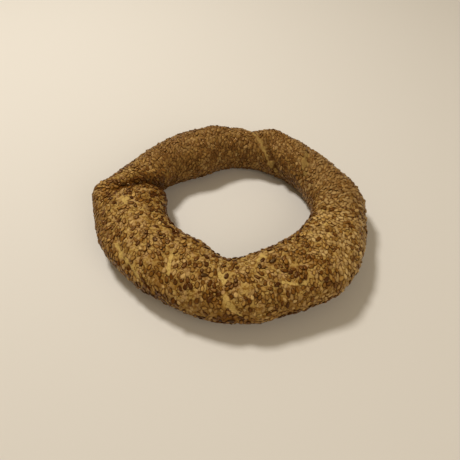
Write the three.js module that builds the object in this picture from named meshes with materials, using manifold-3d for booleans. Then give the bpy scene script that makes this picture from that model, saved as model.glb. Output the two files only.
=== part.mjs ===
// A simit: a baked ring of rolled bread dough, its two strands twisted and run together, coated with sesame seeds.
// Millimetres, +Z up. The ring lies flat on z = 0 and the origin is at the bottom centre of its box.
// Ring angles run anticlockwise from +X, seen from above. Section angles run from the outer side (0) over the
// top (90) to the side of the hole (180) and back underneath (270). Both are in degrees.
import * as THREE from "three";
import { mergeVertices } from "three/addons/utils/BufferGeometryUtils.js";
import Module from "manifold-3d";

const wasm = await Module();
wasm.setup();

// ---- driving dimensions --------------------------------------------------------------------------------------

const NOMINAL_RADIUS = 62; // middle of the rope, for distances measured along the ring
const NOMINAL_THICKNESS_RADIUS = 20; // for distances measured round the rope
const BELLY_SHARE = 0.47; // the rope is widest at this share of its height
const FOOT_ROUNDING = 1.2; // how softly the flat foot runs into the sides

// The hand-rolled rope at twelve places round the ring, 30 degrees apart: distance of its middle from the
// ring's centre, half width, and height. It is thin at the back and fat at the front.
const ROPE_STEP = 30;
const ROPE = [
  { middle: 68.6, halfWidth: 18.7, height: 32.0 },
  { middle: 64.6, halfWidth: 14.9, height: 31.0 },
  { middle: 62.8, halfWidth: 14.9, height: 30.5 },
  { middle: 59.7, halfWidth: 13.2, height: 30.0 },
  { middle: 59.2, halfWidth: 18.8, height: 31.0 },
  { middle: 63.0, halfWidth: 15.2, height: 31.0 },
  { middle: 65.9, halfWidth: 23.0, height: 32.5 },
  { middle: 62.3, halfWidth: 22.7, height: 31.5 },
  { middle: 58.3, halfWidth: 22.6, height: 31.0 },
  { middle: 62.2, halfWidth: 20.4, height: 30.5 },
  { middle: 61.6, halfWidth: 22.1, height: 31.0 },
  { middle: 65.6, halfWidth: 22.3, height: 31.0 },
];

// Creases where the twisted strands meet, each from one [ring angle, section angle] to another.
// bare is the half width of the strip along it that holds no seeds.
const CREASES = [
  { from: [180, 50], to: [158, 208], depth: 6.0, halfWidth: 3.9, bare: 0.8 }, // the fold where the ends join
  { from: [84, 40], to: [50, 205], depth: 2.8, halfWidth: 2.6, bare: 1.4 },
  { from: [46, 38], to: [25, 170], depth: 3.4, halfWidth: 3.2, bare: 1.2 },
  { from: [190, 78], to: [229, 14], depth: 1.2, halfWidth: 2.6, bare: 1.3 },
  { from: [234, 104], to: [242, 36], depth: 1.0, halfWidth: 2.8, bare: 1.3 },
  { from: [263, 104], to: [275, 2], depth: 1.4, halfWidth: 3.4, bare: 2.2 },
  { from: [283, 100], to: [338, 62], depth: 0.8, halfWidth: 2.6, bare: 0.6 },
  { from: [314, 128], to: [352, 94], depth: 1.0, halfWidth: 2.6, bare: 0.9 },
];
const CREASE_FADE = [0.64, 1.24]; // a crease runs out between these shares of its half length
const CREASE_SHARPNESS = 1.5; // the power of its cross section's falloff

// Broad swellings and hollows of the strands between the creases, at [ring angle, section angle].
const SWELLS = [
  { at: [178, 27], rise: 4.3, reach: 8 },
  { at: [104, 80], rise: 3.0, reach: 10 },
  { at: [66, 74], rise: 2.4, reach: 8 },
  { at: [33, 72], rise: 1.1, reach: 8 },
  { at: [3, 30], rise: 1.1, reach: 10 },
  { at: [350, 25], rise: -2.8, reach: 11 },
  { at: [317, 15], rise: 3.7, reach: 13 },
  { at: [250, 60], rise: 1.0, reach: 10 },
  { at: [205, 8], rise: 1.8, reach: 9 },
  { at: [152, 210], rise: -3.6, reach: 9 },
];

// The mesh: columns round the rope that lean with the twist over its top and back under its foot and stand
// closer together at the steep creases, and rows along the ring that are closer on top than underneath.
const COLUMNS = 120;
const ROWS = 26;
const COLUMN_LEAN = 14; // degrees of ring angle to each side of where the lean crosses zero
const LEAN_MIDDLE = 120; // the section angle of that crossing
const COLUMN_CROWDING = 1.6; // extra columns at a steep crease, against one elsewhere
const CROWDING_REACH = 5.5; // degrees of ring angle
const ROW_CROWDING = 18; // degrees of section angle by which the rows are drawn up

const SEED_LENGTH = 3.4;
const SEED_WIDTH = 2.1;
const SEED_THICKNESS = 1.3;
const SEED_LIFT = 0.05; // how far a seed's middle stands above the crust
const SEED_TAPER = 0.32; // how much narrower the pointed end is
const SEED_SPACING = 13.5;
const SEED_COUNT = 100;
const SEED_LOWEST = 4.5; // no seed's middle lies lower, so the ring rests on its foot
const SEED_TRIES = 6000;
const RANDOM_SEED = 20;
const FRAME_STEP = 0.8; // degrees to each side, for the skin's slopes under a seed

const CRUST_COLOUR = new THREE.Color().setRGB(0.6, 0.42, 0.19, THREE.SRGBColorSpace);

// ---- helpers -------------------------------------------------------------------------------------------------

const radians = THREE.MathUtils.degToRad;

// The shortest way from one angle to another, in degrees.
const turn = (angle) => THREE.MathUtils.euclideanModulo(angle + 180, 360) - 180;

// A seeded random number from 0 to 1, the same on every run.
function randomStream(state) {
  return () => {
    state = (state + 0x6d2b79f5) | 0;
    let t = Math.imul(state ^ (state >>> 15), 1 | state);
    t = (t + Math.imul(t ^ (t >>> 7), 61 | t)) ^ t;
    return ((t ^ (t >>> 14)) >>> 0) / 4294967296;
  };
}

// A closed three.js geometry as a manifold-3d solid, its seams merged.
function toSolid(geometry) {
  const bare = geometry.clone();
  bare.deleteAttribute("normal");
  bare.deleteAttribute("uv");
  const merged = mergeVertices(bare, 1e-4);
  return new wasm.Manifold(
    new wasm.Mesh({
      numProp: 3,
      vertProperties: new Float32Array(merged.attributes.position.array),
      triVerts: new Uint32Array(merged.index.array),
    }),
  );
}

function toGeometry(solid) {
  const { vertProperties, triVerts } = solid.getMesh();
  const geometry = new THREE.BufferGeometry();
  geometry.setAttribute("position", new THREE.BufferAttribute(vertProperties, 3));
  geometry.setIndex(new THREE.BufferAttribute(triVerts, 1));
  geometry.computeVertexNormals();
  return geometry;
}

// ---- the dough rope ------------------------------------------------------------------------------------------

// One of the rope's sizes at a ring angle: a smooth closed curve through the twelve places (Catmull-Rom).
function ropeSize(key, ringAngle) {
  const place = THREE.MathUtils.euclideanModulo(ringAngle, 360) / ROPE_STEP;
  const first = Math.floor(place);
  const t = place - first;
  const size = (k) => ROPE[THREE.MathUtils.euclideanModulo(first + k, ROPE.length)][key];
  const [a, b, c, d] = [size(-1), size(0), size(1), size(2)];
  return b + 0.5 * t * (c - a + t * (2 * a - 5 * b + 4 * c - d + t * (3 * (b - c) + d - a)));
}

// A step between two points of the rope's skin, in millimetres along the ring and round the rope.
function skinStep([ringA, sectionA], [ringB, sectionB]) {
  return new THREE.Vector2(
    radians(turn(ringB - ringA)) * NOMINAL_RADIUS,
    radians(turn(sectionB - sectionA)) * NOMINAL_THICKNESS_RADIUS,
  );
}

// Where a point lies beside a crease: its distance from the line, and how fully the crease is cut there.
function besideCrease(crease, point) {
  const middle = [crease.from[0] + turn(crease.to[0] - crease.from[0]) / 2, (crease.from[1] + crease.to[1]) / 2];
  const half = skinStep(middle, crease.to);
  const reach = half.length();
  const along = half.clone().divideScalar(reach);
  const offset = skinStep(middle, point);
  const place = offset.dot(along);
  const nearest = along.multiplyScalar(THREE.MathUtils.clamp(place, -reach, reach));
  const fade = 1 - THREE.MathUtils.smoothstep(Math.abs(place) / reach, ...CREASE_FADE);
  return { distance: offset.distanceTo(nearest), fade };
}

// How far the skin stands out from the plain rope.
function relief(point) {
  let height = 0;
  for (const crease of CREASES) {
    const { distance, fade } = besideCrease(crease, point);
    height -= crease.depth * fade * Math.exp(-Math.pow(distance / crease.halfWidth, CREASE_SHARPNESS));
  }
  for (const swell of SWELLS) {
    height += swell.rise * Math.exp(-skinStep(swell.at, point).lengthSq() / swell.reach ** 2);
  }
  return height;
}

// A height that is flat at zero underneath and runs softly into the sides.
function flattenFoot(z) {
  if (z > FOOT_ROUNDING) return z;
  return z > -FOOT_ROUNDING ? (z + FOOT_ROUNDING) ** 2 / (4 * FOOT_ROUNDING) : 0;
}

// The point of the skin at a ring angle and a section angle.
function skin(ringAngle, sectionAngle) {
  const middle = ropeSize("middle", ringAngle);
  const halfWidth = ropeSize("halfWidth", ringAngle);
  const height = ropeSize("height", ringAngle);
  const halfHeight = (1 - BELLY_SHARE) * height;
  const [cos, sin] = [Math.cos(radians(sectionAngle)), Math.sin(radians(sectionAngle))];
  const outward = new THREE.Vector2(cos / halfWidth, sin / halfHeight).normalize();
  outward.multiplyScalar(relief([ringAngle, sectionAngle]));
  const distance = middle + halfWidth * cos + outward.x;
  const z = flattenFoot(BELLY_SHARE * height + halfHeight * sin + outward.y);
  return new THREE.Vector3(distance * Math.cos(radians(ringAngle)), distance * Math.sin(radians(ringAngle)), z);
}

// Where a crease's line crosses the middle of the lean, or null if it runs along the ring and not across it.
function crossing({ from, to }) {
  const slope = turn(to[0] - from[0]) / (to[1] - from[1]);
  return Math.abs(slope) < 1 ? from[0] + slope * (LEAN_MIDDLE - from[1]) : null;
}

// How far a column leans along the ring at a section angle: nearly straight over the top and back underneath.
function lean(sectionAngle) {
  const angle = radians(sectionAngle - LEAN_MIDDLE);
  return COLUMN_LEAN * (Math.sin(3 * angle) / 9 - Math.sin(angle));
}

// The ring angles of the mesh's columns, found by adding up how closely they stand, degree by degree.
function columnAngles() {
  const crossings = CREASES.map(crossing).filter((angle) => angle !== null);
  const extra = (angle, at) => COLUMN_CROWDING * Math.exp(-((turn(angle - at) / CROWDING_REACH) ** 2));
  const crowding = (angle) => crossings.reduce((sum, at) => sum + extra(angle, at), 1);
  const sums = [0];
  for (let angle = 0; angle < 360; angle += 1) sums.push(sums[angle] + crowding(angle + 0.5));
  const angles = [];
  for (let column = 0; column < COLUMNS; column += 1) {
    const share = (column / COLUMNS) * sums[360];
    const angle = sums.findIndex((sum, i) => sum <= share && share < sums[i + 1]);
    angles.push(angle + (share - sums[angle]) / (sums[angle + 1] - sums[angle]));
  }
  return angles;
}

// A torus whose every vertex is moved to its place on the skin.
function doughGeometry() {
  const ring = new THREE.TorusGeometry(NOMINAL_RADIUS, NOMINAL_THICKNESS_RADIUS, ROWS, COLUMNS);
  const { position, uv } = ring.attributes;
  const angles = columnAngles();
  for (let i = 0; i < position.count; i += 1) {
    const column = Math.round(uv.getX(i) * COLUMNS) % COLUMNS;
    const row = (Math.round(uv.getY(i) * ROWS) % ROWS) * (360 / ROWS);
    const sectionAngle = row + ROW_CROWDING * Math.cos(radians(row));
    const place = skin(angles[column] + lean(sectionAngle), sectionAngle);
    position.setXYZ(i, place.x, place.y, place.z);
  }
  return ring;
}

// ---- sesame seeds --------------------------------------------------------------------------------------------

// A flat teardrop: a low sphere stretched along X and narrowed towards its pointed end.
function seedGeometry() {
  const seed = new THREE.SphereGeometry(0.5, 8, 3);
  seed.rotateX(Math.PI / 2);
  const { position } = seed.attributes;
  for (let i = 0; i < position.count; i += 1) {
    const taper = 1 - SEED_TAPER * 2 * position.getX(i);
    position.setY(i, position.getY(i) * taper);
  }
  return seed.scale(SEED_LENGTH, SEED_WIDTH, SEED_THICKNESS);
}

// The frame of the skin at a point: X along the ring, Z straight out, moved to the point.
function skinFrame(ringAngle, sectionAngle) {
  const at = skin(ringAngle, sectionAngle);
  const next = skin(ringAngle + FRAME_STEP, sectionAngle);
  const alongRing = next.sub(skin(ringAngle - FRAME_STEP, sectionAngle)).normalize();
  const higher = skin(ringAngle, sectionAngle + FRAME_STEP);
  const roundRope = higher.sub(skin(ringAngle, sectionAngle - FRAME_STEP)).normalize();
  const out = alongRing.clone().cross(roundRope).normalize();
  const side = out.clone().cross(alongRing);
  at.addScaledVector(out, SEED_LIFT);
  return new THREE.Matrix4().makeBasis(alongRing, side, out).setPosition(at);
}

function isBare(point) {
  return CREASES.some((crease) => besideCrease(crease, point).distance < crease.bare + SEED_LENGTH / 2);
}

// Seeds spread evenly over the top and sides, turned at random, none on a bare strip or near the foot.
function seedSolids() {
  const random = randomStream(RANDOM_SEED);
  const shape = seedGeometry();
  const placed = [];
  for (let i = 0; i < SEED_TRIES && placed.length < SEED_COUNT; i += 1) {
    const point = [random() * 360, random() * 360];
    const heading = random() * 360;
    const place = skin(...point);
    const tooClose = placed.some((other) => other.place.distanceTo(place) < SEED_SPACING);
    if (place.z < SEED_LOWEST || tooClose || isBare(point)) continue;
    placed.push({ place, frame: skinFrame(...point).multiply(new THREE.Matrix4().makeRotationZ(radians(heading))) });
  }
  return placed.map(({ frame }) => toSolid(shape.clone().applyMatrix4(frame)));
}

// ---- the simit -----------------------------------------------------------------------------------------------

const dough = doughGeometry();
dough.computeBoundingBox();
const centre = dough.boundingBox.getCenter(new THREE.Vector3());

const fused = seedSolids().reduce((whole, seed) => whole.add(seed), toSolid(dough));

const simit = new THREE.Mesh(
  toGeometry(fused).translate(-centre.x, -centre.y, 0),
  new THREE.MeshStandardMaterial({ color: CRUST_COLOUR, roughness: 0.62, metalness: 0 }),
);
simit.name = "simit";

const group = new THREE.Group();
group.add(simit);

export default group;
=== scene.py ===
import functools
import math
from typing import NamedTuple

import bmesh
import bpy
import numpy as np
from bpy.props import FloatProperty, FloatVectorProperty, IntProperty, PointerProperty
from mathutils import Matrix, Vector, kdtree


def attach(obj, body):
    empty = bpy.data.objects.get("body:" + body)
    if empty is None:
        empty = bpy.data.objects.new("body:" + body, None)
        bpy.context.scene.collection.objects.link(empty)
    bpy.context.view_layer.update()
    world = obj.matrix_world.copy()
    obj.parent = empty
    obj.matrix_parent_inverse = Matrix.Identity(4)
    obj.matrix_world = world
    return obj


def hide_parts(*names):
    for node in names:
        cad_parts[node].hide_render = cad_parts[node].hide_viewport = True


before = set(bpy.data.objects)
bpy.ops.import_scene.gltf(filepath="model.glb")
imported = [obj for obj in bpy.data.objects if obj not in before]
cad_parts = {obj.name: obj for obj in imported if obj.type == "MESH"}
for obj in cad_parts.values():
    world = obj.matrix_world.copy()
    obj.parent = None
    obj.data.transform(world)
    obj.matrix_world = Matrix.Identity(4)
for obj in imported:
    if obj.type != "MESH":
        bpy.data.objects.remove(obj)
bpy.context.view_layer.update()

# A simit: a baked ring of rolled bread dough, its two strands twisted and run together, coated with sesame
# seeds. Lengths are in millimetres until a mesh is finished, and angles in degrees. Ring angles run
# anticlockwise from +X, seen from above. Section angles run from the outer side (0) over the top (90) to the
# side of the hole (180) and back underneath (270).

bl_info = {
    "name": "Simit",
    "version": (1, 0, 0),
    "blender": (4, 5, 0),
    "location": "View3D > Sidebar > Simit",
    "description": "A sesame-coated bread ring and its studio stage",
    "category": "Object",
}

MM = 0.001

# ---- the rope of dough: the same sizes as the solid ----

NOMINAL_RADIUS = 62.0  # middle of the rope, for distances measured along the ring
NOMINAL_THICKNESS_RADIUS = 20.0  # for distances measured round the rope
BELLY_SHARE = 0.47  # the rope is widest at this share of its height
FOOT_ROUNDING = 1.2  # how softly the flat foot runs into the sides
ROWS_UPWARD = 0.6  # how much closer together the mesh's rows stand over the top
SIDE_START = (0.0, 6.0)  # heights over which the skin turns uneven, above the smooth foot
FOOT_TOP = 4.0  # height up to which the seeds underneath lift the skin
FRAME_STEP = 0.8  # degrees to each side, for the skin's slopes
BOX_STEPS = (0.5, 2.0)  # degrees along the ring and round the rope, for the dough's box
ROPE_STEP = 30.0
ROPE = np.array([  # every ROPE_STEP: distance of the middle from the ring's centre, half width, height
    (68.6, 18.7, 32.0), (64.6, 14.9, 31.0), (62.8, 14.9, 30.5), (59.7, 13.2, 30.0),
    (59.2, 18.8, 31.0), (63.0, 15.2, 31.0), (65.9, 23.0, 32.5), (62.3, 22.7, 31.5),
    (58.3, 22.6, 31.0), (62.2, 20.4, 30.5), (61.6, 22.1, 31.0), (65.6, 22.3, 31.0),
])
CREASES = [  # from, to, depth, half width
    ((180, 50), (158, 208), 6.0, 3.9),
    ((84, 40), (50, 205), 2.8, 2.6),
    ((46, 38), (25, 170), 3.4, 3.2),
    ((190, 78), (229, 14), 1.2, 2.6),
    ((234, 104), (242, 36), 1.0, 2.8),
    ((263, 104), (275, 2), 1.4, 3.4),
    ((283, 100), (338, 62), 0.8, 2.6),
    ((314, 128), (352, 94), 1.0, 2.6),
]
FOLD = CREASES[0]  # the deep one, where the ends join
CREASE_FADE = (0.64, 1.24)  # a crease runs out between these shares of its half length
CREASE_SHARPNESS = 1.5  # the power of its cross section's falloff
SWELLS = [  # at, rise, reach
    ((178, 27), 4.3, 8), ((104, 80), 3.0, 10), ((66, 74), 2.4, 8), ((33, 72), 1.1, 8), ((3, 30), 1.1, 10),
    ((350, 25), -2.8, 11), ((317, 15), 3.7, 13), ((250, 60), 1.0, 10), ((205, 8), 1.8, 9),
    ((152, 210), -3.6, 9),
]

# Random fields over the skin: shortest and longest wave, number of waves, and start of the random draw.
UNEVEN_WAVES = (18.0, 42.0, 24, 3)
WRINKLE_WAVES = (4.0, 9.0, 60, 5)
RAGGED_WAVES = (2.5, 6.0, 60, 31)
COVER_WAVES = (4.0, 12.0, 40, 11)
CLUSTER_WAVES = (5.0, 14.0, 40, 17)
BROWNING_WAVES = (8.0, 24.0, 30, 23)

# Strips, mostly along the creases, where the dough split in the oven: from, to, half width, and paleness.
BARE_STRIPS = [
    ((86, 48), (54, 200), 1.3, 1.0), ((41, 76), (33, 138), 1.5, 1.0), ((31, 141), (30, 152), 1.1, 0.8),
    ((212, 40), (229, 25), 1.1, 0.85), ((228, 116), (235, 93), 0.1, 0.4), ((235, 93), (241, 55), 0.6, 0.85),
    ((264, 93), (267, 79), 1.4, 0.9), ((268, 52), (274, 14), 1.2, 0.5), ((294, 63), (302, 49), 0.1, 0.7),
]
STRIP_TAPER = 0.35  # share of its width that a strip loses towards its ends
STRIP_BLUR = 0.9
STRIP_MARGIN, PALE_MARGIN = 0.4, 0.9  # shares of a margin that every strip gets, and a pale one besides
# Patches of the crust where few seeds stick, at [ring angle, section angle] with their reach.
BARE_PATCHES = [
    ((190, 84), 3.2), ((247, 33), 1.6), ((291, 121), 3.2), ((287, 114), 2.0), ((303, 49), 1.6),
    ((309, 41), 1.2), ((328, 120), 2.0), ((336, 110), 2.4), ((331, 91), 1.8), ((342, 102), 1.5),
    ((349, 127), 2.8), ((351, 114), 1.2), ((32, 127), 2.2),
]
PATCH_PALENESS = 0.7
RAGGEDNESS, STRIP_RAGGEDNESS, PATCH_RAGGEDNESS = 0.40, 0.95, 0.5  # of all edges, and its share in each kind
# Patches where most seeds are toasted brown, and where they are scorched nearly black. Those low on the outer
# side at the front, at section angles 6 and 38 in the first list and 5 in the second, are painted shadow, not
# toasting.
TOASTED_AND_SHADED_PATCHES = [
    ((302, 74), 5.0), ((299, 85), 3.0), ((273, 74), 2.8), ((247, 47), 3.0), ((253, 52), 2.2),
    ((262, 45), 3.0), ((220, 84), 4.5), ((234, 68), 3.0), ((250, 132), 2.6), ((273, 125), 3.0),
    ((217, 103), 2.0), ((222, 113), 2.0), ((235, 6), 6.0), ((270, 6), 6.0), ((312, 38), 3.0),
    ((184, 86), 2.2), ((184, 55), 3.0), ((336, 101), 2.6), ((348, 111), 1.8), ((338, 79), 2.2),
    ((341, 64), 2.6), ((327, 72), 3.0), ((4, 100), 2.4),
]
SCORCHED_AND_SHADED_PATCHES = [
    ((256, 77), 1.8), ((294, 105), 2.6), ((286, 97), 1.6), ((209, 87), 1.2), ((270, 5), 3.0),
]


# ---- the skin of the dough ----

def turn(angle):
    """The shortest way from one angle to another, in degrees."""
    return (angle + 180.0) % 360.0 - 180.0


def smoothstep(value, low, high):
    share = np.clip((value - low) / (high - low), 0.0, 1.0)
    return share * share * (3.0 - 2.0 * share)


def rope_sizes(ring):
    """Middle, half width and height of the rope at each ring angle, by a smooth curve through ROPE."""
    place = (ring % 360.0) / ROPE_STEP
    first = np.floor(place).astype(int)
    t = place - first
    a, b, c, d = (ROPE[(first + k) % len(ROPE)].T for k in (-1, 0, 1, 2))
    return b + 0.5 * t * (c - a + t * (2 * a - 5 * b + 4 * c - d + t * (3 * (b - c) + d - a)))


def skin_step(at, ring, section):
    """The way from a place to each point, in millimetres along the ring and round the rope."""
    along = np.radians(turn(ring - at[0])) * NOMINAL_RADIUS
    return along, np.radians(turn(section - at[1])) * NOMINAL_THICKNESS_RADIUS


def beside_line(start, end, ring, section):
    """Distance of each point from a line on the skin, and how far along it lies, from -1 at one end to 1."""
    middle = (start[0] + turn(end[0] - start[0]) / 2.0, (start[1] + end[1]) / 2.0)
    half = skin_step(middle, float(end[0]), float(end[1]))
    reach = math.hypot(*half)
    along, around = skin_step(middle, ring, section)
    place = (along * half[0] + around * half[1]) / reach
    nearest = np.clip(place, -reach, reach) / reach
    distance = np.hypot(along - nearest * half[0], around - nearest * half[1])
    return distance, place / reach


def near_patches(patches, ring, section):
    """How near each point is to the nearest patch, from 1 at its middle to 0."""
    near = np.zeros_like(ring)
    for at, reach in patches:
        along, around = skin_step(at, ring, section)
        near = np.maximum(near, np.exp(-(along**2 + around**2) / reach**2))
    return near


def spread_rows(section):
    """Moves evenly spread section angles closer together over the top, and apart over the flat foot."""
    angle = np.arange(361.0)
    share = angle + math.degrees(ROWS_UPWARD) * (1.0 - np.cos(np.radians(angle)))
    return np.interp(section, share, angle)


def relief(ring, section):
    """How far the skin stands out from the plain rope."""
    height = np.zeros_like(ring)
    for start, end, depth, half_width in CREASES:
        distance, place = beside_line(start, end, ring, section)
        cut = 1.0 - smoothstep(np.abs(place), *CREASE_FADE)
        height -= depth * cut * np.exp(-((distance / half_width) ** CREASE_SHARPNESS))
    for at, rise, reach in SWELLS:
        along, around = skin_step(at, ring, section)
        height += rise * np.exp(-(along**2 + around**2) / reach**2)
    return height


def waves(points, shortest, longest, count, seed):
    """A smooth random field over the points, about -2 to 2, made of waves in all directions."""
    draw = np.random.default_rng(seed)
    direction = draw.normal(size=(count, 3))
    direction /= np.linalg.norm(direction, axis=1)[:, None]
    length = draw.uniform(shortest, longest, count)
    phase = draw.uniform(0.0, 2.0 * math.pi, count)
    field = np.cos(points @ (direction * (2.0 * math.pi / length)[:, None]).T + phase)
    return field.sum(axis=1) * math.sqrt(2.0 / count)


def plain_skin(ring, section, extra=0.0):
    """The points of the skin, raised by extra, with the ring's centre at the origin."""
    middle, half_width, height = rope_sizes(ring)
    half_height = (1.0 - BELLY_SHARE) * height
    cos, sin = np.cos(np.radians(section)), np.sin(np.radians(section))
    out = np.stack([cos / half_width, sin / half_height])
    out *= (relief(ring, section) + extra) / np.linalg.norm(out, axis=0)
    distance = middle + half_width * cos + out[0]
    z = BELLY_SHARE * height + half_height * sin + out[1]
    z = np.where(z > FOOT_ROUNDING, z, np.maximum(z + FOOT_ROUNDING, 0.0) ** 2 / (4.0 * FOOT_ROUNDING))
    return np.stack([distance * np.cos(np.radians(ring)), distance * np.sin(np.radians(ring)), z], axis=-1)


@functools.lru_cache(maxsize=None)
def ring_centre():
    """Where the ring's centre lies, from the bottom centre of the dough's box."""
    ring, section = np.meshgrid(*(np.arange(0.0, 360.0, step) for step in BOX_STEPS))
    points = plain_skin(ring.ravel(), section.ravel())
    middle = (points.min(axis=0) + points.max(axis=0)) / 2.0
    return np.array([-middle[0], -middle[1], 0.0])


def skin(ring, section):
    """The points of the uneven, slightly wrinkled skin, lifted off the floor by the seeds under it."""
    dough = bpy.context.scene.simit.dough
    plain = plain_skin(ring, section)
    side = smoothstep(plain[:, 2], *SIDE_START)
    extra = side * (dough.unevenness * waves(plain, *UNEVEN_WAVES) - dough.seed_room)
    extra += side * dough.wrinkles * waves(plain, *WRINKLE_WAVES)
    points = plain_skin(ring, section, extra)
    points[:, 2] += dough.foot_lift * (1.0 - smoothstep(points[:, 2], 0.0, FOOT_TOP))
    return points + ring_centre()


def skin_frames(ring, section):
    """Points of the skin, the directions along the ring, across it and straight out, and the area there."""
    at = skin(ring, section)
    along = skin(ring + FRAME_STEP, section) - skin(ring - FRAME_STEP, section)
    around = skin(ring, section + FRAME_STEP) - skin(ring, section - FRAME_STEP)
    area = np.linalg.norm(np.cross(along, around), axis=1)
    along /= np.linalg.norm(along, axis=1)[:, None]
    out = np.cross(along, around)
    out /= np.linalg.norm(out, axis=1)[:, None]
    return at, along, np.cross(out, along), out, area


def bareness(ring, section, points, margin):
    """How bare and how pale the crust is: up to 1 on the ragged strips and patches, widened by a margin."""
    ragged = RAGGEDNESS * waves(points, *RAGGED_WAVES)
    bare = near_patches(BARE_PATCHES, ring, section) * (1.0 + PATCH_RAGGEDNESS * ragged)
    pale = PATCH_PALENESS * bare
    for start, end, half_width, paleness in BARE_STRIPS:
        distance, place = beside_line(start, end, ring, section)
        edge = half_width * (1.0 - STRIP_TAPER * place**2) + STRIP_RAGGEDNESS * ragged
        edge += margin * (STRIP_MARGIN + PALE_MARGIN * paleness)
        strip = 1.0 - smoothstep(distance, edge, edge + STRIP_BLUR)
        bare, pale = np.maximum(bare, strip), np.maximum(pale, paleness * strip)
    return bare.clip(0.0, 1.0), pale.clip(0.0, 1.0)


# ---- where the seeds lie ----

# Stretches of the ring: the angle of the middle, and the cosines of the angle from it between which they
# fade in.
HEAPED_BACK = (60.0, -0.76, 0.32)
HEAPED_LEFT = (180.0, 0.70, 0.95)
# The dull stretches set where a duller, greyer colour is laid on: partly a duller bake, partly painted light.
DULL_BACK = (78.0, -0.30, 0.50)
DULL_LEFT = (180.0, 0.75, 0.95)
EVEN_BACK = (105.0, 0.35, 0.85)
GOLDEN_LEFT = (195.0, 0.80, 0.97)
RIGHT = (350.0, 0.35, 0.85)
# Low on the outer side at the front, painted shadow browns the crust, and fewer seeds are brown.
LOW_FRONT = (275.0, 0.45, 0.80)
# Section angles, off the outer side, between which something on the outside fades out.
HEAPED_OUTSIDE, LOW_OUTSIDE, DULL_OUTSIDE = (35.0, 70.0), (22.0, 60.0), (25.0, 60.0)
# Section angles between which something on the side of the hole fades in.
# Seeds on the side of the hole are darkened by painted shade between the first pair; the painted light of the
# dulling eases between the second.
PAINTED_SHADE_INSIDE, BRIGHT_INSIDE = (116.0, 145.0), (110.0, 150.0)
FOLD_FADE = (0.7, 1.2)  # shares of the fold's half length between which it runs out
LEFT_HEAPING, LEFT_DULLING, INSIDE_BRIGHTENING = 0.8, 0.6, 0.3

# How thickly seeds lie and how they are toasted: a plain value, and what each place adds to it.
COVER = {"plain": 0.44, "heaped": 0.48, "wavering": 0.15, "fold": 0.3}
BROWN_SHARE = {"plain": 0.45, "left": -0.13, "low front": -0.20, "cluster": 0.15, "toasted": 0.6}
EVEN_TOAST = {
    "plain": 0.43, "back": 0.02, "right": -0.19, "cluster": 0.04, "cluster on the right": 0.06,
    "toasted": 0.16,
}
# Extra darkening of the seeds: painted shade on the side of the hole; in the fold, painted shade with darker
# seeds; and scorching in patches, one of them painted shadow low at the front.
MORE_TOAST_AND_SHADE = {"plain": 0.0, "inside": 0.22, "scorched": 0.60, "fold": 0.5}
BARE_LOSS, UNDER_LOSS = 0.97, 0.45  # shares of the seeds that are missing on bare crust, and underneath
BARE_MARGIN = 0.6
UNDER_HEIGHTS = (0.4, 7.0)
AMBER_SHARE = 0.30  # of the mixed seeds at the front; what is neither brown nor amber there is golden
GOLDEN_TOAST, AMBER_TOAST, BROWN_TOAST = 0.20, 0.42, 0.62
MIXED_SPREAD, EVEN_SPREAD, RIGHT_SPREAD, TOASTED_BROWNER = 0.07, 0.11, 0.09, 0.14

THINNEST_COVER = 0.10  # no seed lies where the cover is thinner
WIDEST_SPACING_COVER = 0.12
TRY_CHANCE = 1.4  # chance of a place to be tried, against the cover there
NEIGHBOUR_REACH = 2.9  # against the spacing
CROWDING_REACH = 1.1  # against a seed's width: nearer neighbours lift and tilt a seed
MOST_CROWDED = 2
HEAP_HEIGHTS, FLAT_HEIGHTS = (2.0, 8.0), (0.2, 3.0)
HEADING, HEADING_SWING, SWING_MIDDLE, HEADING_SPREAD = 90.0, 35.0, 215.0, 36.0
TILT, HEAPED_TILT, CROWDED_TILT = 7.0, 1.5, 2.5
SHAPE_SPREAD, SIZE_SPREAD, SIZE_RANGE, HEAPED_SHRINK = 0.08, 0.12, (0.66, 1.26), 0.04
# A seed's dark outline is partly its own toasted edge and partly painted contact shade where it meets the
# crust.
OUTLINE_TOASTS = (0.20, 0.40)  # from the faintest outline to the full one
FAINTEST_OUTLINE, RIGHT_OUTLINE, OUTLINE_RANGE = 0.40, 0.10, (0.68, 1.0)
# Where seeds are heaped, the crust in the gaps between them is darkened by painted shade.
HEAPED_OUTLINE_LOSS, HEAPED_GAP_SHADE = 0.40, 0.80
# How high seeds lie, in seed thicknesses.
SUNK_RANGE, HEAPED_RANGE, PALE_SINKING, CROWDED_LIFT = (-0.34, 0.02), (-0.55, 0.0), 0.30, 0.22
PALE_TOAST = 0.32  # seeds toasted less than this sink deeper
REST_SHARE = 0.59  # of a seed's upright extent: its middle stays this high above the floor


class SeedKind(NamedTuple):
    """A kind of seed. Its name and rim are also the names of its two colours among the settings."""

    name: str
    rim: str
    most_toasted: float
    roughness: float
    shine: float
    spread: float  # of the seeds' tones, in steps of screen colour


SEED_KINDS = (
    SeedKind("blond", "rim", 0.10, 0.24, 0.24, 12.0),
    SeedKind("golden", "rim", 0.30, 0.22, 0.28, 16.0),
    SeedKind("amber", "rim", 0.46, 0.18, 0.38, 20.0),
    SeedKind("brown", "dark_rim", 0.68, 0.17, 0.50, 22.0),
    SeedKind("dark", "dark_rim", 0.94, 0.16, 0.50, 18.0),
    SeedKind("scorched", "dark_rim", math.inf, 0.16, 0.45, 10.0),
)


def facing(ring, middle, low, high):
    """1 on a stretch of the ring round its middle angle, 0 beyond it."""
    return smoothstep(np.cos(np.radians(ring - middle)), low, high)


def outside(section, near, far):
    """1 on the outer side of the rope, 0 beyond it."""
    return 1.0 - smoothstep(np.abs(turn(section)), near, far)


def weighed(weights, **fields):
    """A plain value plus what each field adds to it."""
    return weights["plain"] + sum(weights[name.replace("_", " ")] * field for name, field in fields.items())


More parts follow.
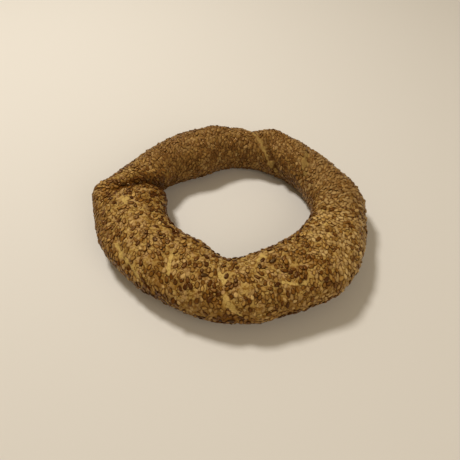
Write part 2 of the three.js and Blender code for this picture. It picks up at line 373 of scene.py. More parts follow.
def heaping(ring, section):
    """How thickly the seeds are heaped: 1 at the back, the right and outside on the left, 0 at the front."""
    left = facing(ring, *HEAPED_LEFT) * outside(section, *HEAPED_OUTSIDE)
    return np.maximum(facing(ring, *HEAPED_BACK), LEFT_HEAPING * left)


def in_the_fold(ring, section):
    """How deep in the fold on the left each point lies, 0 to 1."""
    distance, place = beside_line(FOLD[0], FOLD[1], ring, section)
    return np.exp(-((distance / FOLD[3]) ** 2)) * (1.0 - smoothstep(np.abs(place), *FOLD_FADE))


def low_front(ring, section):
    """1 low down on the outer side at the front, 0 elsewhere."""
    return facing(ring, *LOW_FRONT) * outside(section, *LOW_OUTSIDE)


def dulling_and_painted_light(ring, section):
    """How much duller and greyer the colour is, 0 to 1: at the back, and outside on the left; partly a duller
    bake, partly painted light.
    """
    back = facing(ring, *DULL_BACK) * (1.0 - INSIDE_BRIGHTENING * smoothstep(section, *BRIGHT_INSIDE))
    return np.maximum(back, LEFT_DULLING * facing(ring, *DULL_LEFT) * outside(section, *DULL_OUTSIDE))


def seed_cover(ring, section, points):
    """The share of the crust that seeds cover, about 0 to 1."""
    cover = weighed(
        COVER, heaped=heaping(ring, section), wavering=waves(points, *COVER_WAVES),
        fold=in_the_fold(ring, section),
    )
    cover *= 1.0 - BARE_LOSS * bareness(ring, section, points, BARE_MARGIN)[0]
    under = 1.0 - smoothstep(points[:, 2], *UNDER_HEIGHTS)
    return np.clip(cover * (1.0 - UNDER_LOSS * under), 0.0, 1.0)


def toasting_and_shade(ring, section, points, draw):
    """How brown each seed is, about 0 to 1: even at the back and right, mixed gold and brown at the front;
    painted shade darkens it on the side of the hole, in the fold and low at the front.
    """
    count = len(ring)
    front = 1.0 - heaping(ring, section)
    back, right = facing(ring, *EVEN_BACK), facing(ring, *RIGHT)
    cluster = waves(points, *CLUSTER_WAVES)
    toasted = near_patches(TOASTED_AND_SHADED_PATCHES, ring, section)
    brown_share = weighed(
        BROWN_SHARE, left=facing(ring, *GOLDEN_LEFT), low_front=low_front(ring, section), cluster=cluster,
        toasted=toasted,
    )
    chance = draw.uniform(0.0, 1.0, count)
    light_toast = np.where(chance < brown_share + AMBER_SHARE, AMBER_TOAST, GOLDEN_TOAST)
    mixed_toast = np.where(chance < brown_share, BROWN_TOAST + TOASTED_BROWNER * toasted, light_toast)
    mixed_toast += draw.normal(0.0, MIXED_SPREAD, count)
    even_toast = weighed(
        EVEN_TOAST, back=back, right=right, cluster=cluster, cluster_on_the_right=cluster * right,
        toasted=toasted,
    )
    even_toast += draw.normal(0.0, 1.0, count) * (EVEN_SPREAD + RIGHT_SPREAD * right)
    return even_toast + (mixed_toast - even_toast) * front + weighed(
        MORE_TOAST_AND_SHADE, inside=(1.0 - back) * smoothstep(section, *PAINTED_SHADE_INSIDE),
        scorched=near_patches(SCORCHED_AND_SHADED_PATCHES, ring, section), fold=in_the_fold(ring, section),
    )


def spaced_out(at, tried, spacing, cell, crowding_reach):
    """The tried places that lie far enough from those kept before them, and how crowded each is."""
    grid, chosen, crowd = {}, [], []
    for i in np.flatnonzero(tried):
        x, y, z = (at[i] // cell).astype(int)
        near = [
            j for dx in (-1, 0, 1) for dy in (-1, 0, 1) for dz in (-1, 0, 1)
            for j in grid.get((x + dx, y + dy, z + dz), ())
        ]
        gaps = np.linalg.norm(at[near] - at[i], axis=1) if near else np.array([cell])
        if gaps.min() < min(spacing[i], cell):
            continue
        grid.setdefault((x, y, z), []).append(i)
        chosen.append(i)
        crowd.append(int((gaps < crowding_reach).sum()))
    return chosen, np.array(crowd)


def seed_directions(ring, along, across, out, tilt, draw):
    """The directions of each seed's length, width and face, turned and tilted by the draw."""
    swing = HEADING_SWING * np.cos(2.0 * np.radians(ring - SWING_MIDDLE))
    heading = np.radians(HEADING + swing + draw.normal(0.0, HEADING_SPREAD, len(ring)))
    long_axis = along * np.cos(heading)[:, None] + across * np.sin(heading)[:, None]
    tilt = np.radians(draw.normal(0.0, 1.0, (2, len(ring))) * tilt)
    long_axis = long_axis + out * np.sin(tilt[0])[:, None]
    long_axis /= np.linalg.norm(long_axis, axis=1)[:, None]
    face = out + np.cross(out, long_axis) * np.sin(tilt[1])[:, None]
    face -= long_axis * (face * long_axis).sum(axis=1)[:, None]
    face /= np.linalg.norm(face, axis=1)[:, None]
    return long_axis, np.cross(face, long_axis), face


@functools.lru_cache(maxsize=None)
def seed_places():
    """Arrays of every seed's axes, point, kind, tone, outline and mark, by a seeded draw."""
    seeds = bpy.context.scene.simit.seeds
    draw = np.random.default_rng(seeds.random_seed)
    ring, section = draw.uniform(0.0, 360.0, (2, seeds.tries))
    at, along, across, out, area = skin_frames(ring, section)
    keep = draw.uniform(0.0, area.max(), seeds.tries) < area
    ring, section, at, along, across, out = (a[keep] for a in (ring, section, at, along, across, out))
    cover = seed_cover(ring, section, at)
    tried = (draw.uniform(0.0, 1.0, len(ring)) < cover * TRY_CHANCE) & (cover > THINNEST_COVER)
    heaped = heaping(ring, section) * smoothstep(at[:, 2], *HEAP_HEIGHTS)
    closest = seeds.spacing + (seeds.heaped_spacing - seeds.spacing) * heaped
    spacing = closest / np.sqrt(np.clip(cover, WIDEST_SPACING_COVER, 1.0))
    reach, crowding_reach = seeds.spacing * NEIGHBOUR_REACH, seeds.width * CROWDING_REACH
    chosen, crowd = spaced_out(at, tried, spacing, reach, crowding_reach)
    ring, section, at, along, across, out, heaped = (
        a[chosen] for a in (ring, section, at, along, across, out, heaped)
    )
    count, crowd = len(chosen), np.minimum(crowd, MOST_CROWDED)

    standing = smoothstep(at[:, 2], *FLAT_HEIGHTS)
    tilt = (TILT + HEAPED_TILT * heaped + CROWDED_TILT * crowd) * standing
    directions = seed_directions(ring, along, across, out, tilt, draw)
    size = draw.normal(1.0, SHAPE_SPREAD, (3, count)) * draw.normal(1.0, SIZE_SPREAD, count)
    size = size.clip(*SIZE_RANGE) * (1.0 - HEAPED_SHRINK * heaped)
    sizes = zip(directions, (seeds.length, seeds.width, seeds.thickness), size)
    axes = np.stack([direction * (extent * share)[:, None] for direction, extent, share in sizes], axis=1)

    toast_and_shade = toasting_and_shade(ring, section, at, draw)
    faintest = FAINTEST_OUTLINE + RIGHT_OUTLINE * facing(ring, *RIGHT)
    outline = faintest + (1.0 - faintest) * np.interp(toast_and_shade, OUTLINE_TOASTS, (0.0, 1.0))
    outline *= draw.uniform(*OUTLINE_RANGE, count)
    sunk = draw.uniform(*SUNK_RANGE, count) - PALE_SINKING * (toast_and_shade < PALE_TOAST)
    lift = (sunk + crowd * CROWDED_LIFT) * (1.0 - heaped) + draw.uniform(*HEAPED_RANGE, count) * heaped
    point = at + out * (lift * seeds.thickness * standing)[:, None]
    point[:, 2] = np.maximum(point[:, 2], np.linalg.norm(axes[:, :, 2], axis=1) * REST_SHARE)
    return {
        "axes": axes, "point": point,
        "kind": np.digitize(toast_and_shade, [kind.most_toasted for kind in SEED_KINDS[:-1]]),
        "tone": draw.uniform(0.0, 1.0, count), "dulled": dulling_and_painted_light(ring, section),
        "outline": (1.0 - HEAPED_OUTLINE_LOSS * heaped) * outline,
        "mark": np.maximum(outline, HEAPED_GAP_SHADE * heaped),
    }


# ---- meshes ----

# Half outline of a seed of unit size, from the middle of its face to that of its back: distance, height.
SEED_PROFILE = [
    (0.0, 0.47), (0.28, 0.46), (0.43, 0.35), (0.50, 0.06), (0.42, -0.30), (0.24, -0.43), (0.0, -0.45),
]
SEED_SIDES = 8
SEED_TAPER = 0.34  # how much narrower the pointed end is
MERGE_DISTANCE = 0.01
STAIN_AND_SHADE_SEARCH = 3.8  # no seed stains or shades the crust farther from its middle
# Edges of the dark mark round a seed, partly stain and partly painted contact shade, against the seed's own
# outline: the dark print, and the fainter halo of painted shade round it.
PRINT_EDGE, HALO_EDGE, HALO_STRENGTH = (0.94, 1.26), (1.0, 1.8), 0.32


def rope_mesh(columns, rows):
    """A torus: a circle spun about the upright axis."""
    work = bmesh.new()
    upright = Matrix.Translation((NOMINAL_RADIUS, 0.0, 0.0)) @ Matrix.Rotation(math.pi / 2.0, 4, "X")
    bmesh.ops.create_circle(work, segments=rows, radius=NOMINAL_THICKNESS_RADIUS, matrix=upright)
    bmesh.ops.spin(
        work, geom=work.verts[:] + work.edges[:], cent=(0.0, 0.0, 0.0), axis=(0.0, 0.0, 1.0),
        angle=2.0 * math.pi, steps=columns, use_merge=True,
    )
    bmesh.ops.remove_doubles(work, verts=work.verts[:], dist=MERGE_DISTANCE)
    bmesh.ops.recalc_face_normals(work, faces=work.faces[:])
    mesh = bpy.data.meshes.new("dough")
    work.to_mesh(mesh)
    work.free()
    return mesh


def seed_shape():
    """One seed of unit size: a flat teardrop with a rounded shoulder. Gives points, faces and rim mask."""
    work = bmesh.new()
    steps = len(SEED_PROFILE) - 1
    bmesh.ops.create_uvsphere(work, u_segments=SEED_SIDES, v_segments=steps, radius=0.5)
    for vert in work.verts:
        radius, height = SEED_PROFILE[round(math.acos(vert.co.z / 0.5) / math.pi * steps)]
        flat = Vector((vert.co.x, vert.co.y, 0.0))
        vert.co = flat.normalized() * radius if radius > 0.0 else flat
        vert.co.z = height
        vert.co.y *= 1.0 - 2.0 * SEED_TAPER * vert.co.x
    bmesh.ops.recalc_face_normals(work, faces=work.faces[:])
    work.verts.ensure_lookup_table()
    points = np.array([vert.co for vert in work.verts])
    faces = [[vert.index for vert in face.verts] for face in work.faces]
    work.free()
    rim = np.hypot(points[:, 0], points[:, 1] / (1.0 - 2.0 * SEED_TAPER * points[:, 0])) / 0.5
    return points, faces, rim


def seeds_mesh(name, chosen, places):
    """All the seeds of a kind, as one mesh of joined copies of the seed's shape."""
    points, faces, rim = seed_shape()
    axes, origin = places["axes"][chosen], places["point"][chosen]
    count, size = len(origin), len(points)
    all_points = (np.einsum("vk,nkc->nvc", points, axes) + origin[:, None, :]).reshape(-1, 3) * MM
    corners = np.array([corner for face in faces for corner in face])
    loops = (corners[None, :] + (np.arange(count) * size)[:, None]).ravel()
    totals = np.tile([len(face) for face in faces], count)
    starts = np.concatenate([[0], np.cumsum(totals)[:-1]])
    mesh = bpy.data.meshes.new(name)
    mesh.vertices.add(len(all_points))
    mesh.vertices.foreach_set("co", all_points.ravel().astype(np.float32))
    mesh.loops.add(len(loops))
    mesh.loops.foreach_set("vertex_index", loops.astype(np.int32))
    mesh.polygons.add(len(totals))
    mesh.polygons.foreach_set("loop_start", starts.astype(np.int32))
    mesh.update(calc_edges=True)
    mesh.validate()
    set_attribute(mesh, "rim", np.tile(rim, count))
    for label in ("tone", "outline", "dulled"):
        set_attribute(mesh, label, np.repeat(places[label][chosen], size))
    return mesh


def set_attribute(mesh, name, values):
    attribute = mesh.attributes.new(name, "FLOAT", "POINT")
    attribute.data.foreach_set("value", values.astype(np.float32))


def set_points(mesh, points):
    mesh.vertices.foreach_set("co", (points * MM).ravel().astype(np.float32))
    mesh.update()


def seed_stain_and_shade(points, places):
    """How strongly the seeds stain the crust and paint contact shade on it, by how close each point is to the
    edge of a seed, from 1 under it to 0.
    """
    tree = kdtree.KDTree(len(points))
    for index, point in enumerate(points):
        tree.insert(point, index)
    tree.balance()
    stain = np.zeros(len(points))
    for axes, origin, mark in zip(places["axes"], places["point"], places["mark"]):
        index = np.array([item[1] for item in tree.find_range(origin, STAIN_AND_SHADE_SEARCH)], dtype=int)
        offset = points[index] - origin
        long_share = offset @ axes[0] / (axes[0] @ axes[0]) * 2.0
        side_share = offset @ axes[1] / (axes[1] @ axes[1]) * 2.0
        reach = np.hypot(long_share, side_share)
        halo = HALO_STRENGTH * (1.0 - smoothstep(reach, *HALO_EDGE))
        stain[index] = np.maximum(stain[index], mark * np.maximum(1.0 - smoothstep(reach, *PRINT_EDGE), halo))
    return stain


def finished_piece(name, mesh, material):
    """Puts a finished mesh into the scene as a piece of the simit."""
    mesh.shade_smooth()
    mesh.materials.append(material)
    piece = bpy.data.objects.new(name, mesh)
    bpy.context.scene.collection.objects.link(piece)
    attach(piece, "root")
    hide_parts("simit")


# ---- materials ----

CRUST_SHINE, CRUST_SHINE_TINT = 0.10, (1.0, 0.70, 0.34, 1.0)
SEED_SHINE_TINT = (1.0, 0.66, 0.26, 1.0)
CRUST_BUMP, SEED_BUMP = (0.0005, 0.8), (0.00015, 0.9)  # distance in metres, and strength
# Of these, the stain colour round the seeds is partly painted contact shade, and the dull colour is partly
# painted light.
MOST_DULL, MOST_STAIN_AND_SHADE, MOST_PRINTED, MOST_FLECKED = 0.58, 0.85, 0.8, 0.85  # shares of those colours
PRINT_DEPTH = -0.7
MOTTLE_SHARE = 0.16
PALE_FLECKS = 0.45  # share of the flecks and prints that is left on pale dough
BLUE_STEP = 0.75  # against the step of red and green
DARKER_STEPS = 1.2  # against the steps to the lighter side
FACE_ROUGHNESS, ROUGHNESS_MOTTLE = 0.24, 0.12  # added to a seed's own
# Ranges in which a mark comes out, of the noise that places it or the attribute that it follows.
BROAD_RANGE, FINE_RANGE, BLUSH_RANGE = (0.36, 0.64), (0.34, 0.66), (0.44, 0.64)
RING_OUTSIDE, RING_INSIDE, RING_PATCHES = (0.36, 0.42), (0.44, 0.54), (0.30, 0.50)
PALE_RANGE, FADED_RANGE, BROWN_RANGE = (0.10, 0.80), (0.0, 0.8), (0.0, 1.1)
FLECK_RANGE, STAIN_AND_SHADE_RANGE = (0.15, 1.0), (0.10, 0.95)
RIM_RANGE, SHOULDER_RANGE = (0.56, 0.94), (0.45, 0.75)
# From the lowest to the highest of the fine mottle.
CRUST_ROUGHNESS, SEED_BRIGHTNESS = (0.40, 0.60), (1.10, 0.88)
BLUSH_SCALE = 240.0
PORE_SHARE = 0.35  # against the blisters' height


def tint(red, green, blue):
    """A colour given as it shows on screen, 0 to 255, turned into the linear values that shaders use."""
    shares = [value / 255.0 for value in (red, green, blue)]
    return tuple(s / 12.92 if s <= 0.04045 else ((s + 0.055) / 1.055) ** 2.4 for s in shares)


def baked(colour, steps):
    """A colour made lighter, or darker below 0, in equal steps of red and green on screen, fewer of blue."""
    screen = [255.0 * (c * 12.92 if c <= 0.0031308 else 1.055 * c ** (1.0 / 2.4) - 0.055) for c in colour]
    return tint(*(max(value + steps * share, 0.0) for value, share in zip(screen, (1.0, 1.0, BLUE_STEP))))


def fill(tree, node, inputs):
    """Sets a node's inputs to values, or links them from other sockets."""
    for name, value in inputs.items():
        if isinstance(value, bpy.types.NodeSocket):
            tree.links.new(value, node.inputs[name])
        else:
            node.inputs[name].default_value = value


def add_node(tree, kind, inputs, **settings):
    """Adds a shader node, sets it up and fills its inputs. Gives its outputs."""
    node = tree.nodes.new(kind)
    for name, value in settings.items():
        setattr(node, name, value)
    fill(tree, node, inputs)
    return node.outputs


def rgba(colour):
    """A colour with its alpha, or the socket that gives it."""
    return colour if isinstance(colour, bpy.types.NodeSocket) else (*colour[:3], 1.0)


def mixed(tree, share, first, second):
    """A mix of two colours, each a socket or a colour. Gives the result's socket."""
    node = tree.nodes.new("ShaderNodeMix")
    node.data_type = "RGBA"
    fill(tree, node, {0: share, 6: rgba(first), 7: rgba(second)})
    return node.outputs[2]


def remapped(tree, value, low, high, to_low=0.0, to_high=1.0):
    """A value eased from one range to another, and kept inside it."""
    return add_node(tree, "ShaderNodeMapRange", {
        "Value": value, "From Min": low, "From Max": high, "To Min": to_low, "To Max": to_high,
    }, interpolation_type="SMOOTHSTEP")["Result"]


def arithmetic(tree, operation, *values):
    return add_node(tree, "ShaderNodeMath", dict(enumerate(values)), operation=operation)[0]


def noise(tree, vector, scale, detail, roughness=0.5):
    return add_node(tree, "ShaderNodeTexNoise", {
        "Vector": vector, "Scale": scale, "Detail": detail, "Roughness": roughness,
    })["Fac"]


def attribute(tree, name):
    return add_node(tree, "ShaderNodeAttribute", {}, attribute_name=name)["Fac"]


def bumped(tree, height, distance, strength):
    return add_node(tree, "ShaderNodeBump", {
        "Height": height, "Distance": distance, "Strength": strength,
    })["Normal"]


def new_group(name, scales, results):
    """A node group with a vector and the named scales as inputs. Gives its tree, inputs and outputs."""
    tree = bpy.data.node_groups.new(name, "ShaderNodeTree")
    tree.interface.new_socket("Vector", in_out="INPUT", socket_type="NodeSocketVector")
    for label, default in scales.items():
        socket = tree.interface.new_socket(label, in_out="INPUT", socket_type="NodeSocketFloat")
        socket.default_value = default
    for label in results:
        tree.interface.new_socket(label, in_out="OUTPUT", socket_type="NodeSocketFloat")
    return tree, tree.nodes.new("NodeGroupInput").outputs, tree.nodes.new("NodeGroupOutput").inputs


def placed_group(tree, name, vector, scales):
    """A node group placed in a material. Gives its outputs."""
    node = tree.nodes.new("ShaderNodeGroup")
    node.node_tree = bpy.data.node_groups[name]
    fill(tree, node, {"Vector": vector, **scales})
    return node.outputs


def oven_mottle_group():
    """Oven mottle: soft uneven browning, at two scales."""
    tree, given, result = new_group("Oven mottle", {"Scale": 100.0, "Detail scale": 600.0}, ("Broad", "Fine"))
    for scale, label, reach in (("Scale", "Broad", BROAD_RANGE), ("Detail scale", "Fine", FINE_RANGE)):
        field = noise(tree, given["Vector"], given[scale], 3.0, 0.55)
        tree.links.new(remapped(tree, field, *reach), result[label])


def crust_grain_group():
    """Crust grain: the height of fine blisters and pores, for a bump."""
    scales = {"Blister scale": 900.0, "Pore scale": 2600.0}
    tree, given, result = new_group("Crust grain", scales, ("Height",))
    blister = noise(tree, given["Vector"], given["Blister scale"], 4.0, 0.6)
    pore = noise(tree, given["Vector"], given["Pore scale"], 2.0)
    tree.links.new(arithmetic(tree, "MULTIPLY_ADD", pore, PORE_SHARE, blister), result["Height"])


def seed_prints_group():
    """Seed prints: thin rings that seeds pressed into the crust have left, in patches."""
    tree, given, result = new_group("Seed prints", {"Scale": 360.0, "Patch scale": 130.0}, ("Rings",))
    cells = {"Vector": given["Vector"], "Scale": given["Scale"]}
    distance = add_node(tree, "ShaderNodeTexVoronoi", cells, feature="F1")["Distance"]
    outer = remapped(tree, distance, *RING_OUTSIDE)
    ring = arithmetic(tree, "MULTIPLY", outer, remapped(tree, distance, *RING_INSIDE, 1.0, 0.0))
    share = remapped(tree, noise(tree, given["Vector"], given["Patch scale"], 2.0), *RING_PATCHES)
    tree.links.new(arithmetic(tree, "MULTIPLY", ring, share), result["Rings"])


def new_material(name):
    """A material with its shader, and the vector that its patterns follow."""
    material = bpy.data.materials.new(name)
    material.use_nodes = True
    tree = material.node_tree
    return material, tree, tree.nodes["Principled BSDF"], add_node(tree, "ShaderNodeTexCoord", {})["Object"]


def finish_shader(tree, shader, colour, roughness, normal, shine, shine_tint):
    shader.inputs["Specular IOR Level"].default_value = shine
    shader.inputs["Specular Tint"].default_value = shine_tint
    fill(tree, shader, {"Base Color": colour, "Roughness": roughness, "Normal": normal})


def dulled(tree, colour):
    """A colour turned duller and greyer where the dulling is: partly a duller bake, partly painted light."""
    share = remapped(tree, attribute(tree, "dulled"), 0.0, 1.0, 0.0, MOST_DULL)
    return mixed(tree, share, colour, bpy.context.scene.simit.dough.dull_and_painted_light)


def crust_material():
    """Baked dough: gold, flecked and marked by seeds, browner where it was hot, paler where it split; painted
    shade darkens it round the seeds, in the fold and low at the front, and painted light dulls it at the
    back.
    """
    look = bpy.context.scene.simit.dough
    material, tree, shader, vector = new_material("Baked crust")
    mottle = placed_group(tree, "Oven mottle", vector, {"Scale": 90.0, "Detail scale": 560.0})
    pale = remapped(tree, attribute(tree, "pale"), *PALE_RANGE)
    blush = remapped(tree, noise(tree, vector, BLUSH_SCALE, 2.0), *BLUSH_RANGE)
    colour = mixed(tree, pale, mixed(tree, blush, look.gold, look.blush), look.pale)
    broad = arithmetic(tree, "MULTIPLY", mottle["Broad"], MOTTLE_SHARE)
    # The browning attribute holds real browning, and painted shade in the fold and low at the front.
    browned = arithmetic(tree, "ADD", attribute(tree, "browning"), broad)
    colour = mixed(tree, remapped(tree, browned, *BROWN_RANGE), colour, look.brown)
    plain = remapped(tree, pale, *FADED_RANGE, 1.0, PALE_FLECKS)
    flecks = arithmetic(tree, "MULTIPLY", mottle["Fine"], plain)
    colour = mixed(tree, remapped(tree, flecks, *FLECK_RANGE, 0.0, MOST_FLECKED), colour, look.brown)
    rings = placed_group(tree, "Seed prints", vector, {"Scale": 360.0, "Patch scale": 130.0})["Rings"]
    prints = arithmetic(tree, "MULTIPLY", rings, plain)
    colour = mixed(tree, remapped(tree, prints, 0.0, 1.0, 0.0, MOST_PRINTED), colour, look.stain)
    # Round the seeds the crust darkens: partly their real stain, partly painted contact shade.
    stain = remapped(tree, attribute(tree, "stain"), *STAIN_AND_SHADE_RANGE, 0.0, MOST_STAIN_AND_SHADE)
    colour = dulled(tree, mixed(tree, stain, colour, look.stain))
    grain = placed_group(tree, "Crust grain", vector, {"Blister scale": 700.0, "Pore scale": 2400.0})
    height = arithmetic(tree, "MULTIPLY_ADD", prints, PRINT_DEPTH, grain["Height"])
    normal = bumped(tree, height, *CRUST_BUMP)
    roughness = remapped(tree, mottle["Fine"], 0.0, 1.0, *CRUST_ROUGHNESS)
    finish_shader(tree, shader, colour, roughness, normal, CRUST_SHINE, CRUST_SHINE_TINT)
    return material


def seed_material(kind):
    """A toasted seed, lighter on its face and dark round its rim, the rim partly its own toasted edge and
    partly painted contact shade; each seed a little different.
    """
    look = bpy.context.scene.simit.seeds
    material, tree, shader, vector = new_material(kind.name.capitalize() + " sesame")
    mottle = placed_group(tree, "Oven mottle", vector, {"Scale": 160.0, "Detail scale": 900.0})
    # Rim: partly the seed's toasted edge, partly painted contact shade.
    rim = remapped(tree, attribute(tree, "rim"), *RIM_RANGE)
    outline = arithmetic(tree, "MULTIPLY", rim, attribute(tree, "outline"))
    own = getattr(look, kind.name)
    darker, lighter = baked(own, -DARKER_STEPS * kind.spread), baked(own, kind.spread)
    face = mixed(tree, attribute(tree, "tone"), darker, lighter)
    shade = remapped(tree, mottle["Fine"], 0.0, 1.0, *SEED_BRIGHTNESS)
    colour = add_node(tree, "ShaderNodeHueSaturation", {
        "Color": mixed(tree, outline, face, getattr(look, kind.rim)), "Value": shade,
    })["Color"]
    roughest = kind.roughness + FACE_ROUGHNESS
    shoulder = remapped(tree, attribute(tree, "rim"), *SHOULDER_RANGE, roughest, kind.roughness)
    roughness = arithmetic(tree, "MULTIPLY_ADD", mottle["Fine"], ROUGHNESS_MOTTLE, shoulder)
    grain = placed_group(tree, "Crust grain", vector, {"Blister scale": 1500.0, "Pore scale": 4200.0})
    normal = bumped(tree, grain["Height"], *SEED_BUMP)
    # The duller colour on the seeds at the back and outside on the left is partly painted light.
    finish_shader(tree, shader, dulled(tree, colour), roughness, normal, kind.shine, SEED_SHINE_TINT)
    return material


# ---- settings ----

def colour_property(name, description, screen_colour):
    return FloatVectorProperty(
        name=name, description=description, subtype="COLOR", size=3, min=0.0, max=1.0,
        default=tint(*screen_colour),
    )


def length_property(name, description, default, least=0.0):
    return FloatProperty(name=name, description=description + ", mm", default=default, min=least)


class SimitDough(bpy.types.PropertyGroup):
    """The rope of dough."""

    columns: IntProperty(name="Columns", description="Steps of the mesh round the ring", default=660, min=60)
    rows: IntProperty(name="Rows", description="Steps of the mesh round the rope", default=150, min=16)
    unevenness: length_property("Unevenness", "Height of the dough's broad unevenness", 0.28)
    wrinkles: length_property("Wrinkles", "Height of the crust's fine wrinkles", 0.16)
    seed_room: length_property("Seed room", "How far the crust lies inside the solid", 0.75)
    dimple: length_property("Dimple", "How far the crust sinks round each seed", 0.35)
    foot_lift: length_property("Foot lift", "How far the seeds hold the crust's foot up", 0.3)
    gold: colour_property("Gold", "Crust where the oven coloured it least", (179, 147, 82))
    blush: colour_property("Blush", "The same in rosier patches", (181, 146, 95))
    # Also the colour of the painted shade in the fold and low at the front.
    brown: colour_property("Brown", "Crust where the oven browned it", (120, 81, 25))
    pale: colour_property("Pale", "Dough where the crust split", (194, 164, 94))
    # This colour serves both the crust's stain round the seeds and the painted shade there.
    stain: colour_property("Stain", "Crust under and round the seeds", (70, 29, 0))
    # Partly a duller bake, partly painted light: the greyer, dimmer look of the back and of the outer side on
    # the left.
    dull_and_painted_light: colour_property("Dull", "Crust and seeds where the bake is duller", (112, 79, 41))


class SimitSeeds(bpy.types.PropertyGroup):
    """The sesame seeds."""

    length: length_property("Length", "Length of a seed", 3.6, 1.0)
    width: length_property("Width", "Width of a seed", 2.15, 0.5)
    thickness: length_property("Thickness", "Thickness of a seed", 0.78, 0.2)
    spacing: length_property("Spacing", "Closest distance between seeds on the crust", 1.8)
    heaped_spacing: length_property("Heaped spacing", "Closest distance where they are heaped", 1.72)
    tries: IntProperty(name="Tries", description="Places tried for seeds", default=170000, min=100)
    random_seed: IntProperty(name="Random seed", description="Start of the random draw", default=7)
    blond: colour_property("Blond", "Palest seeds", (184, 153, 98))
    golden: colour_property("Golden", "Golden seeds", (171, 138, 84))
    amber: colour_property("Amber", "Light brown seeds", (151, 114, 55))
    brown: colour_property("Brown", "Brown seeds", (109, 67, 13))
    dark: colour_property("Dark", "Dark brown seeds", (76, 37, 0))
    scorched: colour_property("Scorched", "Nearly black seeds", (46, 22, 0))
    # Rim colours: partly the seeds' own toasted edges, partly painted contact shade.
    rim: colour_property("Rim", "Rims of the light seeds", (70, 26, 0))
    dark_rim: colour_property("Dark rim", "Rims of the dark seeds", (52, 18, 0))


class SimitStage(bpy.types.PropertyGroup):
    """Floor, lights and camera."""

    floor_colour: colour_property("Floor", "Colour of the floor", (214, 210, 203))
    key_power: FloatProperty(
        name="Key", description="Power of the window-like light", default=6.2, unit="POWER"
    )
    fill_power: FloatProperty(
        name="Fill", description="Power of the soft light from the front", default=2.8, unit="POWER"
    )
    room_light: FloatProperty(name="Room", description="Strength of the even light of the room", default=0.30)
    distance: FloatProperty(
        name="Distance", description="Camera to the middle of the ring", default=0.320, unit="LENGTH"
    )
    elevation: FloatProperty(
        name="Elevation", description="Camera above the horizon", default=math.radians(48.04), subtype="ANGLE"
    )


class SimitSettings(bpy.types.PropertyGroup):
    """All settings of the simit."""

    dough: PointerProperty(type=SimitDough)
    seeds: PointerProperty(type=SimitSeeds)
    stage: PointerProperty(type=SimitStage)


# ---- operators ----

FOCAL_PIXELS = 490.7
FRAME_PIXELS = 460.0
TARGET_PIXEL = (233.1, 206.8)
TARGET_HEIGHT = 16.0
ROLL = -2.24
SENSOR_WIDTH = 36.0
# The stage's sizes and places are in metres.
NEAREST_SHOWN = 0.01
FLOOR_REACH, FLOOR_ROUGHNESS = 3.0, 0.8
WINDOW_PLACE, WINDOW_SIZE, WINDOW_COLOUR = (-0.34, 0.30, 0.78), 0.18, (1.0, 0.96, 0.90)
FILL_PLACE, FILL_SIZE, FILL_COLOUR = (0.55, -0.65, 0.55), 0.8, (1.0, 0.93, 0.84)
ROOM_COLOUR = (1.0, 0.80, 0.50, 1.0)

# How brown the crust is: a plain value, and what each place adds to it. The low front term, and the low
# patches, are painted shadow.
BROWNING_AND_SHADE = {
    "plain": 0.14, "wavering": 0.11, "low front": 0.28, "foot": 0.35, "toasted": 0.12, "scorched": 0.8,
}
# The crust in the fold is darkened by painted shade.
FOLD_PAINTED_SHADE, BROWNING_MARGIN = 0.8, 1.0
BROWNED_HEIGHTS, DIMPLED_HEIGHTS = (0.5, 7.0), (0.5, 4.0)


def soft_lamp(name, place, target, size, power, colour):
    """Puts a round lamp at a place, turned to the target."""
    data = bpy.data.lights.new(name, "AREA")
    data.shape, data.size, data.energy, data.color = "DISK", size, power, colour
    lamp = bpy.data.objects.new(name, data)
    lamp.location = place
    lamp.rotation_euler = (target - Vector(place)).to_track_quat("-Z", "Y").to_euler()
    bpy.context.scene.collection.objects.link(lamp)


class SIMIT_OT_stage(bpy.types.Operator):
    """Set up the floor, the soft lights and the camera."""

    bl_idname = "simit.stage"
    bl_label = "Stage"

    def execute(self, context):
        scene, stage = context.scene, context.scene.simit.stage
        centre = ring_centre() * MM
        target = Vector((centre[0], centre[1], TARGET_HEIGHT * MM))

        data = bpy.data.cameras.new("Camera")
        data.sensor_width = SENSOR_WIDTH
        data.lens = FOCAL_PIXELS / FRAME_PIXELS * SENSOR_WIDTH
        data.shift_x = -(TARGET_PIXEL[0] / FRAME_PIXELS - 0.5)
        data.shift_y = TARGET_PIXEL[1] / FRAME_PIXELS - 0.5
        data.clip_start = NEAREST_SHOWN
        camera = bpy.data.objects.new("Camera", data)
        scene.collection.objects.link(camera)
        back = Vector((0.0, -math.cos(stage.elevation), math.sin(stage.elevation)))
        camera.location = target + back * stage.distance
        upright = (-back).to_track_quat("-Z", "Y").to_matrix()
        camera.rotation_euler = (upright @ Matrix.Rotation(math.radians(-ROLL), 3, "Z")).to_euler()
        scene.camera = camera

        work = bmesh.new()
        bmesh.ops.create_grid(work, x_segments=1, y_segments=1, size=FLOOR_REACH)
        mesh = bpy.data.meshes.new("Floor")
        work.to_mesh(mesh)
        work.free()
        paint = bpy.data.materials.new("Matt floor")
        paint.use_nodes = True
        fill(paint.node_tree, paint.node_tree.nodes["Principled BSDF"], {
            "Base Color": rgba(stage.floor_colour), "Roughness": FLOOR_ROUGHNESS,
        })
        mesh.materials.append(paint)
        floor = bpy.data.objects.new("Floor", mesh)
        scene.collection.objects.link(floor)

        soft_lamp("Window", WINDOW_PLACE, target, WINDOW_SIZE, stage.key_power, WINDOW_COLOUR)
        soft_lamp("Fill", FILL_PLACE, target, FILL_SIZE, stage.fill_power, FILL_COLOUR)
        world = bpy.data.worlds.new("Room")
        world.use_nodes = True
        fill(world.node_tree, world.node_tree.nodes["Background"], {
            "Color": ROOM_COLOUR, "Strength": stage.room_light,
        })
        scene.world = world
        scene.view_settings.view_transform = "Standard"
        return {"FINISHED"}


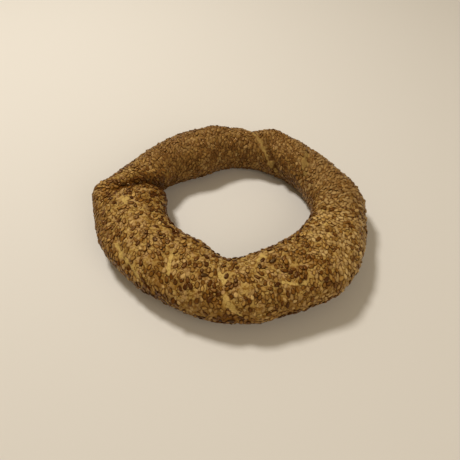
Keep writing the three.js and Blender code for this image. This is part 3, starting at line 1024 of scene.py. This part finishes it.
class SIMIT_OT_crust(bpy.types.Operator):
    """Make the baked ring of dough."""

    bl_idname = "simit.crust"
    bl_label = "Crust"

    def execute(self, context):
        dough = context.scene.simit.dough
        mesh = rope_mesh(dough.columns, dough.rows)
        count = len(mesh.vertices)
        if count != dough.columns * dough.rows:
            raise RuntimeError(f"the rope has {count} points, not {dough.columns * dough.rows}")
        flat = np.empty(count * 3, dtype=np.float32)
        mesh.vertices.foreach_get("co", flat)
        x, y, z = flat.reshape(-1, 3).astype(float).T
        ring = np.degrees(np.arctan2(y, x))
        section = spread_rows(np.degrees(np.arctan2(z, np.hypot(x, y) - NOMINAL_RADIUS)) % 360.0)
        points = skin(ring, section)
        stain = seed_stain_and_shade(points, seed_places())
        set_points(mesh, points)
        normals = np.empty(count * 3, dtype=np.float32)
        mesh.vertex_normals.foreach_get("vector", normals)
        dimples = dough.dimple * stain * smoothstep(points[:, 2], *DIMPLED_HEIGHTS)
        points -= normals.reshape(-1, 3) * dimples[:, None]
        set_points(mesh, points)

        # Browning of the crust: real browning, with painted shade in the fold and painted shadow low at the
        # front.
        brown = weighed(
            BROWNING_AND_SHADE, wavering=waves(points, *BROWNING_WAVES), low_front=low_front(ring, section),
            foot=1.0 - smoothstep(points[:, 2], *BROWNED_HEIGHTS),
            toasted=near_patches(TOASTED_AND_SHADED_PATCHES, ring, section),
            scorched=near_patches(SCORCHED_AND_SHADED_PATCHES, ring, section),
        )
        brown *= 1.0 - bareness(ring, section, points, BROWNING_MARGIN)[0]
        brown += FOLD_PAINTED_SHADE * in_the_fold(ring, section)
        set_attribute(mesh, "stain", stain)
        set_attribute(mesh, "pale", bareness(ring, section, points, 0.0)[1])
        set_attribute(mesh, "dulled", dulling_and_painted_light(ring, section))
        set_attribute(mesh, "browning", brown.clip(0.0, 1.0))
        finished_piece("crust", mesh, crust_material())
        return {"FINISHED"}


class SIMIT_OT_seeds(bpy.types.Operator):
    """Scatter the sesame seeds, one piece for each kind."""

    bl_idname = "simit.seeds"
    bl_label = "Sesame seeds"

    def execute(self, context):
        places = seed_places()
        for index, kind in enumerate(SEED_KINDS):
            name, chosen = "seeds_" + kind.name, places["kind"] == index
            if not chosen.any():
                raise RuntimeError(f"{name} would have no seeds")
            finished_piece(name, seeds_mesh(name, chosen, places), seed_material(kind))
        return {"FINISHED"}


class SIMIT_PT_panel(bpy.types.Panel):
    """The simit's pieces and settings."""

    bl_label = "Simit"
    bl_idname = "SIMIT_PT_panel"
    bl_space_type = "VIEW_3D"
    bl_region_type = "UI"
    bl_category = "Simit"

    def draw(self, context):
        settings = context.scene.simit
        for title, group, operator in (
            ("Stage", settings.stage, SIMIT_OT_stage),
            ("Crust", settings.dough, SIMIT_OT_crust),
            ("Seeds", settings.seeds, SIMIT_OT_seeds),
        ):
            box = self.layout.box()
            box.label(text=title)
            for name in group.bl_rna.properties.keys():
                if name not in ("rna_type", "name"):
                    box.prop(group, name)
            box.operator(operator.bl_idname)


CLASSES = (
    SimitDough, SimitSeeds, SimitStage, SimitSettings,
    SIMIT_OT_stage, SIMIT_OT_crust, SIMIT_OT_seeds, SIMIT_PT_panel,
)


def register():
    for item in CLASSES:
        bpy.utils.register_class(item)
    bpy.types.Scene.simit = PointerProperty(type=SimitSettings)


def unregister():
    del bpy.types.Scene.simit
    for item in reversed(CLASSES):
        bpy.utils.unregister_class(item)


def main():
    register()
    oven_mottle_group()
    crust_grain_group()
    seed_prints_group()
    bpy.ops.simit.stage()
    bpy.ops.simit.crust()
    bpy.ops.simit.seeds()


if __name__ == "__main__":
    main()
